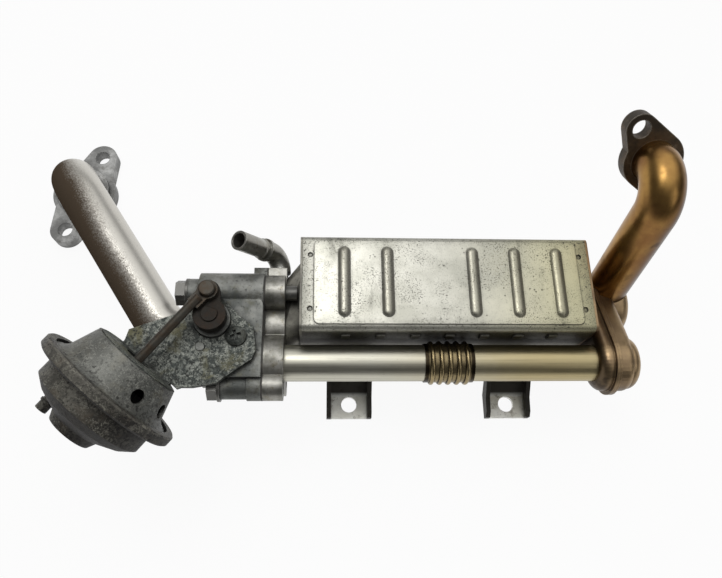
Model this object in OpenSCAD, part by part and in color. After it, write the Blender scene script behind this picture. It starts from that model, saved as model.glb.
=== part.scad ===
// Exhaust gas recirculation cooler with a bypass tube and a vacuum operated bypass valve.
// Millimetres. X runs from the valve to the gas inlet, Z is up, and the origin lies midway
// between the two bracket holes on the underside of the feet.

/* [Cooler box] */
// Length of the cooler box
box_l = 150; // [120:1:180]
// Width of the cooler box
box_w = 51.5; // [46:0.5:60]
// Height of the cooler box
box_h = 52; // [44:0.5:60]
// Height of the box top above the feet
box_top = 72.5; // [68:0.5:84]
// Distance from the foot holes to the front wall of the box
box_front = 24.5; // [23:0.5:30]
// Left end of the box measured from the origin
box_left = -72.5; // [-80:0.5:-65]
// Sheet thickness of the box shells
sheet_t = 1.2; // [0.8:0.1:2]
// Outer bend radius of the box edges
bend_r = 3; // [2.2:0.2:5]
// Height of the cover's side skirt
skirt_h = 28; // [20:1:34]
// Overlap of the two box shells
lap_h = 10; // [4:1:14]
// Clearance between parts that are brazed together
braze_gap = 0.05; // [0.02:0.01:0.15]
// Border between the box edge and the raised panel
panel_border = 6; // [4:0.5:9]
// Rise of the panel above the border
panel_rise = 0.6; // [0.3:0.1:1.2]
// Width of a stiffening rib
rib_w = 7.4; // [5:0.2:9]
// Length of a stiffening rib
rib_l = 39.5; // [30:0.5:41]
// Rise of a rib above the panel
rib_rise = 1.5; // [0.8:0.1:2.5]
// Distance between neighbouring rib places
rib_pitch = 22.3; // [18:0.1:24]
// Distance between the crimp tabs along the side walls
tab_pitch = 17.85; // [14:0.05:20]

/* [Gas tubes] */
// Outer diameter of a gas tube
core_tube_d = 7; // [5:0.1:7.6]
// Wall of a gas tube
core_tube_wall = 0.5; // [0.3:0.05:1]
// Distance from the outermost gas tubes to the edge of a header plate
core_margin = 2.15; // [1.5:0.05:3]
// Gas tubes across the width
core_cols = 5; // [3:1:5]
// Gas tubes across the height
core_rows = 5; // [3:1:5]
// Thickness of a header plate
header_t = 2; // [1.2:0.1:3]

/* [Bypass tube] */
// Outer diameter of the bypass tube
bypass_d = 19; // [16:0.5:20]
// Wall of the bypass tube
bypass_wall = 1.2; // [0.8:0.1:2]
// Distance of the bypass tube's axis from the box wall
bypass_off = 12; // [11.5:0.1:14]
// Height of the bypass tube's axis
bypass_z = 52.5; // [50:0.5:56]
// Diameter over the bellows convolutions
bellows_d = 22.8; // [21:0.1:23.4]
// Distance between bellows convolutions
bellows_pitch = 4.5; // [4.2:0.1:6]
// Number of bellows convolutions
bellows_count = 5; // [3:1:7]
// Left end of the bellows
bellows_left = -9.5; // [-20:0.5:0]
// Length of the plain cuff at each end of the bellows
cuff_l = 1.5; // [1.5:0.5:6]

/* [Collector] */
// Length of the inlet header between the box and the collector
neck_l = 3; // [2.2:0.1:6]
// Depth of the inner collector shell
inner_depth = 8; // [6:0.5:10]
// Depth of the outer collector shell between the lobes
waist_depth = 11; // [9:0.5:13]
// Depth of the outer shell at the bypass lobe
low_depth = 14; // [12:0.5:17]
// Depth of the outer shell at the inlet lobe
high_depth = 21.5; // [18:0.5:24]
// Radius of the bypass lobe without its lip
low_lobe_r = 14.8; // [14:0.2:16]
// Radius of the inlet lobe without its lip
high_lobe_r = 17; // [15:0.2:19]
// Width of the welded lip
lip_w = 2; // [1.2:0.1:3]
// Sheet thickness of the collector
collector_t = 1.3; // [1:0.1:1.8]

/* [Inlet pipe] */
// Outer diameter of the inlet pipe
inlet_d = 22; // [20:0.5:23]
// Wall of the inlet pipe
inlet_wall = 1.3; // [1:0.1:2]
// Bend radius of the inlet pipe on its axis
inlet_bend = 16; // [13:0.5:16.5]
// Distance between the inlet flange bolts
inlet_pitch = 39; // [38:0.5:46]
// Thickness of the inlet flange
inlet_flange_t = 7; // [6:0.5:8]

/* [Outlet pipe] */
// Outer diameter of the outlet pipe
outlet_d = 25.4; // [22:0.2:26]
// Wall of the outlet pipe
outlet_wall = 1.4; // [1:0.1:2]
// Height of the outlet pipe's axis
outlet_z = 44.5; // [43:0.5:46]
// Bend radius of the outlet pipe on its axis at the housing
outlet_bend = 20.5; // [16:0.5:21]
// Bend radius of the outlet pipe above its flange
outlet_drop_bend = 30; // [24:0.5:33]
// Distance between the outlet flange bolts
outlet_pitch = 54; // [50:0.5:60]
// Thickness of the outlet flange
outlet_flange_t = 8; // [6:0.5:10]

/* [Flanges and fasteners] */
// Thickness of the cooler flange
flange_t = 10; // [8:0.5:12]
// Thickness of the gasket
gasket_t = 0.8; // [0.4:0.1:1.5]
// Length of the cone between the box and the cooler flange
cone_l = 9; // [8:0.5:13]
// Radius of a clearance hole for a mounting bolt
bolt_hole_r = 4.5; // [4.2:0.1:5]
// Thread radius of a flange bolt
bolt_r = 4; // [3:0.1:4]
// Width across flats of a flange bolt's head
bolt_af = 12; // [11:0.5:13]
// Height of a flange bolt's head
bolt_head_h = 6.5; // [5:0.5:8]

/* [Coolant nozzles] */
// Outer diameter of a coolant nozzle
nozzle_d = 10.4; // [9:0.2:11]
// Bore of a coolant nozzle
nozzle_bore = 8; // [6:0.2:8.4]
// Length of the front nozzle beyond its elbow
nozzle_l = 36; // [28:1:44]

/* [Brackets] */
// Width of a mounting bracket over its side walls
bracket_w = 26; // [24:0.5:32]
// Distance between the bracket holes
bracket_pitch = 93; // [80:1:105]
// Sheet thickness of a bracket
bracket_t = 2.5; // [2:0.1:3]

/* [Valve housing] */
// Length of the housing from the gasket to its outlet face
housing_l = 39; // [37:0.5:42]
// Height of the housing's top face
housing_top = 67; // [66:0.1:68]
// Radius of the valve shaft
shaft_r = 4; // [3.5:0.1:4.2]
// Running clearance of the shaft, measured on the radius
run_gap = 0.05; // [0.02:0.01:0.09]
// Reach of the flap from the shaft's axis
flap_reach = 11.5; // [10:0.5:12]
// Thickness of the flap
flap_t = 2; // [1.5:0.1:2.4]

/* [Lever and actuator] */
// Distance from the shaft to the lever pin
lever_r = 11.5; // [11:0.1:13]
// Angle of the lever at rest
lever_rest = 96; // [94:1:100]
// Thickness of the lever arm
lever_t = 3.5; // [3:0.1:4]
// Radius of the lever pin
pin_r = 2.5; // [2:0.1:3]
// Radius of the actuator rod
rod_r = 2.3; // [2:0.1:2.6]
// Heading of the actuator axis seen from above
act_heading = 48.5; // [46:0.5:51]
// Upward tilt of the actuator's mouth
act_tilt = 6; // [4:0.5:7]
// Distance from the lever pin to the actuator's rim
act_reach = 65; // [63:0.5:68]
// Radius over the rolled rim
rim_r = 36.8; // [36:0.2:39]
// Radius of the vacuum can
can_r = 28.5; // [27:0.5:29.5]
// Depth of the vacuum can behind its rim
can_depth = 24.5; // [23.5:0.5:30]
// Radius of the front cup at its mouth
mouth_r = 22.5; // [22:0.5:24]
// Height of the front cup
cup_h = 19; // [18:0.5:21]
// Sheet thickness of the actuator pressings
act_t = 1.2; // [1:0.1:1.5]

/* [Hidden] */
$fn = 64;

eps = 0.01;
// Lap and thinning where a pipe bend runs into its straight ends
run_lap = 0.3;
thin = 0.03;

// Box
box_right = box_left + box_l;
box_mid_y = box_front + box_w / 2;
box_bottom = box_top - box_h;
box_mid_z = box_top - box_h / 2;
tray_w = box_w - 2 * (sheet_t + braze_gap);
tray_top = box_top - skirt_h + lap_h;
header_w = tray_w - 2 * (sheet_t + braze_gap);
header_h = box_h - 2 * (sheet_t + braze_gap);
core_pitch_y = (header_w - 2 * core_margin - core_tube_d) / (core_cols - 1);
core_pitch_z = (header_h - 2 * core_margin - core_tube_d) / (core_rows - 1);
header_in = 2.5;
rib_places = [0, 1, 3, 4, 5];
rib_shift = box_l / 2 + 2.2 - 2.5;
tab_count = 7;
tab_size = [4.5, 1.2, 6];
spot_r = 1.4;
spot_depth = 0.7;

// Bypass and collector
bypass_y = box_front - bypass_off;
bellows_l = bellows_count * bellows_pitch + 2 * cuff_l;
bellows_wall = 0.6;
collector_x = box_right + neck_l + inner_depth;
low_c = [bypass_y, bypass_z];
high_c = [box_front + 26.5, box_bottom + 12.5];
gas_port = [box_front + 24, box_bottom + 18];
gas_port_r = 13;
lobe_fillet = 5;

// Flange group on the left
flange_right = box_left - cone_l;
flange_left = flange_right - flange_t;
housing_right = flange_left - gasket_t;
housing_left = housing_right - housing_l;
cool_port = [bypass_y + 20.5, bypass_z - 8.5];
cool_port_r = 9.5;
bolt_top = bypass_z + 6;
bolt_low = bypass_z - 20.5;
bolt_high_y = bypass_y + 36;
bolt_places = [
  [bolt_high_y, bolt_top],
  [bypass_y - 13.5, bolt_top],
  [bolt_high_y + 10.5, bolt_low],
  [bypass_y - 4.5, bolt_low]
];
boss_radii = [9.5, 7.2, 8.5, 8.5];
duct_w = box_w - 5;
duct_h = bolt_top - bolt_r - 1.5 - box_bottom - 4;
duct_mid = box_mid_y;
duct_z = box_bottom + 4 + duct_h / 2;
coolant_boss = [bolt_high_y + 9.5, bypass_z - 9];
coolant_boss_r = 8;
head_gap = 0.1;

// Valve housing
chamber_low = 33.5;
chamber_high = 60;
floor_z = 28.5;
shaft_x = housing_right - 24.5;
shaft_y = bypass_y + 17.5;
chamber_half = 8.6;
divider_half = 4.6;
outlet_bore_r = outlet_d / 2 - outlet_wall;
bush_wall = 2;
bush_r = shaft_r + run_gap + bush_wall;
shaft_boss_r = bush_r + 3;
long_boss_r = 10.5;
long_boss_l = 33;
low_boss_r = 6.4;
low_boss_l = 20;
face_t = 7;
collar_r = outlet_d / 2 + 2.6;
collar_l = 1.5;
arm_t = 3;
arm_top = housing_top + arm_t;
shaft_boss_h = 5.2;
hub_z = housing_top + shaft_boss_h + 2.8;
hub_r = 8;
hub_h = 5.5;
lever_top = hub_z + hub_h;
eye_t = 2.8;
eye_z = lever_top + 0.2;
eye_r = 5;
rod_z = lever_top + 4;
flap_angle = 151;
flap_h = chamber_high - chamber_low - 2;
peg = [shaft_x - 5.2, shaft_y - 13.6];
screw_place = [shaft_x + 12.1, shaft_y - 8.3];
screw_r = 2.5;
screw_head_r = 5.1;
screw_head_h = 2.6;
screw_l = 12;

// Actuator placing
pin_at = [shaft_x + lever_r * cos(lever_rest), shaft_y + lever_r * sin(lever_rest)];
act_dir = [
  cos(act_tilt) * cos(act_heading), cos(act_tilt) * sin(act_heading), sin(act_tilt)
];
act_side = [-sin(act_heading), cos(act_heading), 0];
act_at = [pin_at.x, pin_at.y, rod_z] - act_reach * act_dir;
rim_half = 0.75;
front_wall_top = cup_h - 2;
tab_t = 2.5;
rod_hole_r = 7;
plate_r = 19;
plate_z = 2.2;
ferrule_r = 3.5;
ferrule_top = 8.5;
rod_end = act_reach - ferrule_top - 2.5;
wire_r = 1;
nipple_r = 3;
nipple_l = 13;
nipple_at = [can_r * 0.66, -can_r * 0.1];
coil_r = 8.5;
coil_turns = 5;

// Inlet
inlet_base = [collector_x + 10.5, high_c.x + 9.5, high_c.y + 19.5];
inlet_corner = inlet_base + [5.3, 22.8, 68.5];
inlet_tilt = atan2(4, 3);
inlet_stub = 32;
inlet_mate = [0, sin(inlet_tilt), -cos(inlet_tilt)];
inlet_face = inlet_corner + inlet_stub * inlet_mate;
inlet_turn = 180 - atan2(527, 336);
inlet_down = (inlet_base - inlet_corner) / norm(inlet_base - inlet_corner);
inlet_start = inlet_base + 9 * inlet_down;

// Outlet
outlet_rise = 104.3;
outlet_slope = [-0.552, 0.834];
outlet_reach = outlet_rise / outlet_slope.y;
outlet_foot = 27.667;
outlet_corner = [shaft_x - outlet_foot, shaft_y];
outlet_leg = outlet_corner + outlet_reach * outlet_slope;
outlet_lobe_r = 9;
outlet_rim = 6.3;
inlet_lobe_r = 7.7;
inlet_rim = 4.2;
bypass_pocket_drop = 8;
bypass_pocket_h = 15;
low_pocket_in = 6.5;
low_pocket_w = 8;
outlet_turn = 72;
seat_depth = 1.5;

// Nozzle
elbow_r = nozzle_d / 2 + 0.4;
nozzle_x = flange_left + elbow_r + 0.4;
nozzle_elbow = [nozzle_x, coolant_boss.x + coolant_boss_r + 10.5, coolant_boss.y];
nozzle_dir = [-0.556, -0.115, 0.823];
nozzle_bend = 9;
spigot_r = 3.8;
spigot_bore = 2.7;
nozzle_seat = 5;

function unit(v) = v / norm(v);
function across(d) = unit(cross(d, abs(d.z) < 0.9 ? [0, 0, 1] : [1, 0, 0]));
function heading(p, i) = unit(p[i + 1] - p[i]);
function turn_at(p, i) = acos(heading(p, i - 1) * heading(p, i));
function trim_at(p, r, i) =
  i == 0 || i == len(p) - 1 ? 0 : r[i - 1] * tan(turn_at(p, i) / 2);

// Places children with their x and y axes along ax and ay at point o.
module framed(o, ax, ay) {
  az = cross(ax, ay);
  multmatrix([
    [ax.x, ay.x, az.x, o.x],
    [ax.y, ay.y, az.y, o.y],
    [ax.z, ay.z, az.z, o.z],
    [0, 0, 0, 1]
  ]) children();
}

// Places children with their z axis along d at point o.
module pointing(o, d) {
  ax = across(d);
  framed(o, ax, cross(d, ax)) children();
}

// Turns a drawing in the (y, z) plane to stand along X.
module along_x(x = 0) {
  translate([x, 0, 0]) rotate([90, 0, 90]) children();
}

module ring(outer, inner) {
  difference() {
    circle(outer);
    circle(inner);
  }
}

// Tube of straight runs and bends along points p, with one bend radius per inner point.
// Each bend is a hair thinner than the straight runs and laps into their ends.
module pipe_run(p, r, outer, inner) {
  for (i = [0:len(p) - 2]) {
    d = heading(p, i);
    from = p[i] + d * (trim_at(p, r, i) - (i == 0 ? 0 : run_lap));
    to = p[i + 1] - d * (trim_at(p, r, i + 1) - (i == len(p) - 2 ? 0 : run_lap));
    pointing(from, d) linear_extrude(norm(to - from)) ring(outer, inner);
  }
  if (len(p) > 2) for (i = [1:len(p) - 2]) {
    d = heading(p, i - 1);
    e = heading(p, i);
    toward = unit(e - (d * e) * d);
    centre = p[i] - d * trim_at(p, r, i) + toward * r[i - 1];
    framed(centre, -toward, d)
      rotate_extrude(angle = turn_at(p, i))
        translate([r[i - 1], 0]) ring(outer - thin, inner + thin);
  }
}

// Solid core of a straight run, used to cut its hole through another wall.
module run_cut(from, to, r) {
  pointing(from, unit(to - from)) cylinder(r = r, h = norm(to - from));
}

module round_rect(w, h, r) {
  translate([-w / 2 + r, -h / 2]) square([w - 2 * r, h]);
  translate([-w / 2, -h / 2 + r]) square([w, h - 2 * r]);
  for (sx = [-1, 1], sy = [-1, 1])
    translate([sx * (w / 2 - r), sy * (h / 2 - r)]) circle(r);
}

// Cross-section ring of a box of outer size w by h and wall t.
module box_ring(w, h, r, t) {
  difference() {
    round_rect(w, h, r);
    round_rect(w - 2 * t, h - 2 * t, r - t);
  }
}

module rib_crown() {
  rise = rib_rise + panel_rise;
  big = (rib_w * rib_w / 4 + rise * rise) / (2 * rise);
  reach = rib_l / 2 - rib_w / 2;
  intersection() {
    translate([0, 0, rise - big]) {
      rotate([90, 0, 0]) cylinder(r = big, h = 2 * reach, center = true);
      for (s = [-1, 1]) translate([0, s * reach, 0]) sphere(big);
    }
    translate([-rib_w, -rib_l, 0]) cube([2 * rib_w, 2 * rib_l, rise + 1]);
  }
}

module cooler_cover() color([0.78, 0.78, 0.72]) {
  difference() {
    union() {
      along_x(box_left) linear_extrude(box_l) intersection() {
        translate([box_mid_y, box_mid_z]) box_ring(box_w, box_h, bend_r, sheet_t);
        translate([box_front - 1, box_top - skirt_h]) square([box_w + 2, skirt_h + 1]);
      }
      translate([box_left + box_l / 2, box_mid_y, box_top - sheet_t / 2])
        linear_extrude(panel_rise + sheet_t / 2)
          round_rect(box_l - 2 * panel_border, box_w - 2 * bend_r, bend_r);
      for (i = rib_places)
        translate([box_left + rib_shift + 2.5 + (i - 2.5) * rib_pitch, box_mid_y, box_top])
          rib_crown();
      for (i = [0:tab_count - 1], s = [0, 1])
        translate([
          box_left + box_l / 2 + 0.8 + (i - (tab_count - 1) / 2) * tab_pitch - tab_size.x / 2,
          s == 0 ? box_front - tab_size.y : box_front + box_w - sheet_t / 2,
          box_top - 13
        ]) cube(tab_size + [0, sheet_t / 2, 0]);
    }
    for (x = [box_left + 4, box_right - 4.5], s = [-1, 1])
      translate([x, box_mid_y + s * 14.7, box_top - spot_depth])
        cylinder(r = spot_r, h = spot_depth + 1);
  }
}

module cooler_tray() color([0.72, 0.72, 0.68])
  difference() {
    along_x(box_left) linear_extrude(box_l) intersection() {
      translate([box_mid_y, box_mid_z]) box_ring(tray_w, box_h, bend_r, sheet_t);
      translate([box_front, box_bottom - 1]) square([box_w, tray_top - box_bottom + 1]);
    }
    translate([box_right - 20, box_mid_y + 8, box_bottom - 1])
      cylinder(d = nozzle_d + 2 * braze_gap, h = sheet_t + 2);
  }

module tube_places() {
  for (c = [0:core_cols - 1], r = [0:core_rows - 1])
    translate([
      box_mid_y + (c - (core_cols - 1) / 2) * core_pitch_y,
      box_mid_z + (r - (core_rows - 1) / 2) * core_pitch_z
    ]) children();
}

module header(x) {
  along_x(x) linear_extrude(header_t) difference() {
    translate([box_mid_y, box_mid_z]) round_rect(header_w, header_h, bend_r - sheet_t);
    tube_places() circle(core_tube_d / 2 + braze_gap);
  }
}

module header_left() color([0.7, 0.7, 0.68]) header(box_left + header_in);

module header_right() color([0.7, 0.66, 0.55]) header(box_right - header_in - header_t);

module gas_tubes() color([0.66, 0.64, 0.58])
  along_x(box_left + header_in - 0.5)
    linear_extrude(box_l - 2 * header_in + 1)
      tube_places() ring(core_tube_d / 2, core_tube_d / 2 - core_tube_wall);

// Gas duct from the box's end plate to the flange, drawn inward by the distance in.
module duct_body(in, from, to) {
  hull() {
    along_x(from) linear_extrude(eps)
      translate([duct_mid, duct_z]) round_rect(duct_w - 2 * in, duct_h - 2 * in, 8 - in, $fn = 32);
    along_x(to) linear_extrude(eps) {
      translate(cool_port) circle(cool_port_r + sheet_t - in, $fn = 48);
      translate([bolt_high_y + 5.5, cool_port.y]) circle(8 - in, $fn = 32);
    }
  }
}

module outlet_cone() color([0.3, 0.29, 0.27])
  difference() {
    union() {
      along_x(box_left - sheet_t) linear_extrude(sheet_t)
        translate([box_mid_y, box_mid_z]) round_rect(box_w, box_h, bend_r);
      duct_body(0, box_left - eps, flange_right);
    }
    duct_body(sheet_t, box_left + 1, flange_right - 1);
  }

module joined(a, b, r) {
  d = unit(b - a);
  n = [-d.y, d.x];
  polygon([a + n * r, b + n * r, b - n * r, a - n * r]);
}

module flange_outline() {
  for (i = [0:3]) translate(bolt_places[i]) circle(boss_radii[i]);
  translate(low_c) circle(bypass_d / 2 + 5);
  translate(cool_port) circle(cool_port_r + 6.5);
  translate([cool_port.x, coolant_boss.y - coolant_boss_r])
    square([coolant_boss.x + coolant_boss_r - cool_port.x, 2 * coolant_boss_r]);
  polygon([bolt_places[0], bolt_places[1], bolt_places[3], bolt_places[2]]);
}

module flange_ports() {
  translate(low_c) circle(bypass_d / 2 - bypass_wall);
  translate(cool_port) circle(cool_port_r);
}

module flange_holes(r) {
  for (b = bolt_places) translate(b) circle(r);
}

module cooler_flange() color([0.72, 0.72, 0.68])
  difference() {
    along_x(flange_left) linear_extrude(flange_t) difference() {
      flange_outline();
      flange_ports();
      flange_holes(bolt_r + head_gap);
    }
    along_x(flange_right - flange_t / 2) linear_extrude(flange_t)
      translate(low_c) circle(bypass_d / 2 + braze_gap);
    translate([nozzle_x, coolant_boss.x + coolant_boss_r - nozzle_seat, coolant_boss.y])
      rotate([-90, 0, 0]) cylinder(r = spigot_r + braze_gap, h = nozzle_seat + 2);
    translate([nozzle_x, coolant_boss.x - 2, coolant_boss.y])
      rotate([-90, 0, 0]) cylinder(r = spigot_bore, h = coolant_boss_r + 4);
  }

module inlet_header() color([0.5, 0.42, 0.3])
  difference() {
    union() {
      along_x(box_right) linear_extrude(sheet_t)
        translate([box_mid_y, box_mid_z]) round_rect(box_w, box_h, bend_r);
      along_x(box_right) linear_extrude(neck_l) translate(gas_port) circle(gas_port_r);
    }
    along_x(box_right - 1) linear_extrude(neck_l + 2)
      translate(gas_port) circle(gas_port_r - sheet_t);
  }

// Disc with one rounded edge, standing on the y z plane and rising along +X.
module lobe(r, depth, fillet) {
  rotate([0, 90, 0]) rotate_extrude() {
    square([r - fillet, depth]);
    square([r, depth - fillet]);
    translate([r - fillet, depth - fillet]) intersection() {
      circle(fillet);
      square(fillet);
    }
  }
}

module collector_outline(grow) {
  hull() {
    translate(low_c) circle(low_lobe_r + grow, $fn = 48);
    translate(high_c) circle(high_lobe_r + grow, $fn = 48);
  }
}

module lobe_pair(depth, in) {
  hull() {
    translate([0, low_c.x, low_c.y]) lobe(low_lobe_r - in, depth - in, lobe_fillet - in, $fn = 48);
    translate([0, high_c.x, high_c.y])
      lobe(high_lobe_r - in, depth - in, lobe_fillet - in, $fn = 48);
  }
}

module outer_form(in) {
  lobe_pair(waist_depth, in);
  translate([0, low_c.x, low_c.y])
    lobe(low_lobe_r - 1 - in, low_depth - in, lobe_fillet - in, $fn = 48);
  translate([0, high_c.x, high_c.y])
    lobe(high_lobe_r - 0.6 - in, high_depth - in, lobe_fillet + 1 - in, $fn = 48);
}

module lip_ring() {
  difference() {
    collector_outline(lip_w);
    collector_outline(-collector_t / 2);
  }
}

module inlet_hole() {
  run_cut(inlet_start + 0.5 * inlet_down, inlet_corner, inlet_d / 2 + braze_gap, $fn = 48);
}

module collector_outer() color([0.55, 0.4, 0.22])
  difference() {
    union() {
      translate([collector_x, 0, 0]) difference() {
        outer_form(0);
        translate([-eps, 0, 0]) outer_form(collector_t);
      }
      along_x(collector_x) linear_extrude(collector_t) lip_ring();
    }
    inlet_hole();
  }

module collector_inner() color([0.42, 0.32, 0.2])
  difference() {
    union() {
      translate([collector_x, 0, 0]) mirror([1, 0, 0]) difference() {
        lobe_pair(inner_depth, 0);
        translate([-eps, 0, 0]) lobe_pair(inner_depth, collector_t);
      }
      along_x(collector_x - collector_t) linear_extrude(collector_t) lip_ring();
    }
    along_x(box_right) linear_extrude(inner_depth + neck_l) {
      translate(low_c) circle(bypass_d / 2 + braze_gap);
      translate(gas_port) circle(gas_port_r - sheet_t);
    }
    inlet_hole();
  }

module bypass_run(from, to) {
  along_x(from) linear_extrude(to - from)
    translate(low_c) ring(bypass_d / 2, bypass_d / 2 - bypass_wall);
}

module bypass_tube_left() color([0.7, 0.7, 0.64])
  bypass_run(flange_right - flange_t / 2, bellows_left + cuff_l);

module bypass_tube_right() color([0.6, 0.52, 0.3])
  bypass_run(bellows_left + bellows_l - cuff_l, collector_x - inner_depth + 4);

module bypass_bellows() color([0.52, 0.4, 0.26])
  translate([bellows_left, bypass_y, bypass_z]) rotate([0, 90, 0]) rotate_extrude() {
    inner = bypass_d / 2 + braze_gap;
    crest = bellows_pitch / 4;
    difference() {
      union() {
        translate([inner, 0]) square([bellows_wall, bellows_l]);
        for (i = [0:bellows_count - 1])
          translate([bellows_d / 2 - crest, cuff_l + (i + 0.5) * bellows_pitch]) {
            circle(crest);
            translate([inner - bellows_d / 2 + crest, -crest])
              square([bellows_d / 2 - crest - inner, 2 * crest]);
          }
      }
      for (i = [0:bellows_count - 1])
        translate([bellows_d / 2 - crest, cuff_l + (i + 0.5) * bellows_pitch]) {
          circle(crest - bellows_wall);
          translate([inner - bellows_d / 2 + crest - 1, bellows_wall - crest])
            square([bellows_d / 2 - crest - inner + 1, 2 * (crest - bellows_wall)]);
        }
    }
  }

inlet_path = [inlet_start, inlet_corner, inlet_face - 1.55 * inlet_mate];

module inlet_pipe() color([0.6, 0.42, 0.16])
  pipe_run(inlet_path, [inlet_bend], inlet_d / 2, inlet_d / 2 - inlet_wall);

function arc(c, r, from, to) =
  [for (i = [0:20]) let (a = from + (to - from) * i / 20) c + r * [cos(a), sin(a)]];

// Two-bolt flange outline: a lobe, its flank or neck and a stretch of the middle, twice over.
module two_bolt_outline(pitch, lobe_r, mid_r, flanked) {
  lean = flanked ? acos((mid_r - lobe_r) / (pitch / 2)) : 80;
  half = concat(
    arc([0, 0], mid_r, -140, flanked ? -lean : -40),
    arc([pitch / 2, 0], lobe_r, -lean, 80)
  );
  polygon(concat(half, -half));
}

module two_bolt_plate(pitch, lobe_r, mid_r, flanked, thick, bore, seat_r, lip) {
  difference() {
    linear_extrude(thick) difference() {
      two_bolt_outline(pitch, lobe_r, mid_r, flanked);
      circle(bore);
      for (s = [-1, 1]) translate([s * pitch / 2, 0]) circle(bolt_hole_r);
    }
    translate([0, 0, lip]) cylinder(r = seat_r, h = thick);
  }
}

module inlet_flange() color([0.2, 0.18, 0.16])
  translate(inlet_face) rotate([inlet_tilt, 0, 0]) rotate([0, 0, inlet_turn])
    two_bolt_plate(
      inlet_pitch, inlet_lobe_r, inlet_d / 2 + inlet_rim, true, inlet_flange_t,
      inlet_d / 2 - inlet_wall, inlet_d / 2 + braze_gap, 1.5
    );

outlet_path = [
  [housing_left + seat_depth, shaft_y, outlet_z],
  [outlet_corner.x, outlet_corner.y, outlet_z],
  [outlet_leg.x, outlet_leg.y, outlet_z],
  [outlet_leg.x, outlet_leg.y, 1.55]
];

module outlet_pipe() color([0.72, 0.7, 0.66])
  pipe_run(outlet_path, [outlet_bend, outlet_drop_bend], outlet_d / 2, outlet_bore_r);

module outlet_flange() color([0.62, 0.63, 0.64])
  translate([outlet_leg.x, outlet_leg.y, 0]) rotate([0, 0, outlet_turn]) {
    two_bolt_plate(
      outlet_pitch, outlet_lobe_r, outlet_d / 2 + outlet_rim, false, outlet_flange_t,
      outlet_bore_r, outlet_d / 2 + braze_gap, 1.5
    );
    translate([0, 0, outlet_flange_t])
      linear_extrude(3.5) ring(outlet_d / 2 + 3.2, outlet_d / 2 + braze_gap);
  }

nozzle_foot = [nozzle_x, coolant_boss.x + coolant_boss_r, coolant_boss.y];
nozzle_path = [
  nozzle_foot,
  nozzle_elbow,
  nozzle_elbow + 14 * unit(nozzle_dir)
];

module hose_bead() {
  rotate_extrude() difference() {
    translate([nozzle_d / 2 - 0.6, 0]) circle(1.1);
    translate([0, -2]) square([nozzle_bore / 2 + 0.1, 4]);
  }
}

module coolant_nozzle_front() color([0.45, 0.44, 0.4]) {
  pipe_run(nozzle_path, [nozzle_bend], elbow_r, nozzle_bore / 2 + 0.1);
  translate(nozzle_foot) rotate([90, 0, 0]) translate([0, 0, -0.6])
    linear_extrude(nozzle_seat + 0.6) ring(spigot_r, spigot_bore);
  translate(nozzle_foot) rotate([-90, 0, 0]) linear_extrude(0.6) ring(elbow_r - 0.2, spigot_bore);
  pointing(nozzle_path[2] - 0.5 * unit(nozzle_dir), unit(nozzle_dir)) {
    linear_extrude(nozzle_l - 13.5) ring(nozzle_d / 2, nozzle_bore / 2);
    linear_extrude(1.8) ring(elbow_r + 0.7, nozzle_bore / 2);
    translate([0, 0, 4.5]) hose_bead();
  }
}

module coolant_nozzle_rear() color([0.5, 0.5, 0.46])
  translate([box_right - 20, box_mid_y + 8, 3]) {
    linear_extrude(box_bottom + sheet_t + 1.5 - 3) ring(nozzle_d / 2, nozzle_bore / 2);
    translate([0, 0, 10]) hose_bead();
  }

// Channel bracket welded under the box, with its foot hole at the origin of its own place.
module bracket(x) {
  root = box_front + 2;
  rise = box_bottom;
  foot_l = 8;
  bend_y = 5;
  difference() {
    translate([x - bracket_w / 2, 0, 0]) {
      rotate([90, 0, 90]) linear_extrude(bracket_w) polygon([
        [-foot_l, 0], [bend_y + 1, 0], [root, rise - bracket_t], [root + 18, rise - bracket_t],
        [root + 18, rise], [root - 1, rise], [bend_y, bracket_t], [-foot_l, bracket_t]
      ]);
      for (s = [0, bracket_w - bracket_t])
        translate([s, 0, 0]) rotate([90, 0, 90]) linear_extrude(bracket_t) polygon([
          [-foot_l, 0], [bend_y + 1, 0], [root, rise - bracket_t], [root, rise],
          [root - 5, rise], [bend_y - 2, 8.5], [-foot_l + 3, 7.5], [-foot_l, 5]
        ]);
    }
    translate([x, 0, -1]) cylinder(r = bolt_hole_r, h = bracket_t + 2);
  }
}

module bracket_left() color([0.62, 0.62, 0.58]) bracket(-bracket_pitch / 2);

module bracket_right() color([0.62, 0.62, 0.58]) bracket(bracket_pitch / 2);

module housing_body() {
  main_low = shaft_y - chamber_half - 3;
  main_high = shaft_y + chamber_half + 6;
  side_low = bypass_y - 10.5;
  side_left = shaft_x - 7.5;
  translate([(housing_left + housing_right) / 2, (main_low + main_high) / 2, floor_z])
    linear_extrude(housing_top - floor_z) round_rect(housing_l, main_high - main_low, 6);
  translate([side_left, side_low, bypass_z - 11.5])
    cube([housing_right - side_left, main_low + 8 - side_low, housing_top - bypass_z + 11.5]);
  translate([housing_left + 4, shaft_y, bolt_top - 16])
    cube([housing_l - 8, bolt_high_y + 10.5 - shaft_y, 12]);
  along_x(housing_right - face_t) linear_extrude(face_t) flange_outline();
  along_x(housing_right - long_boss_l) linear_extrude(long_boss_l)
    translate(bolt_places[0]) circle(long_boss_r);
  along_x(housing_right - long_boss_l - 6) linear_extrude(7)
    translate(bolt_places[0]) circle(long_boss_r - 3);
  along_x(housing_right - low_boss_l) linear_extrude(low_boss_l)
    translate(bolt_places[1]) circle(low_boss_r);
  along_x(housing_left - collar_l) linear_extrude(9 + collar_l)
    translate([shaft_y, outlet_z]) circle(collar_r);
  translate([shaft_x, shaft_y, floor_z])
    cylinder(r = shaft_boss_r, h = housing_top + shaft_boss_h - floor_z);
  translate([peg.x, peg.y, housing_top - 1]) cylinder(r = 2.2, h = arm_t + 1.6);
}

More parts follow.
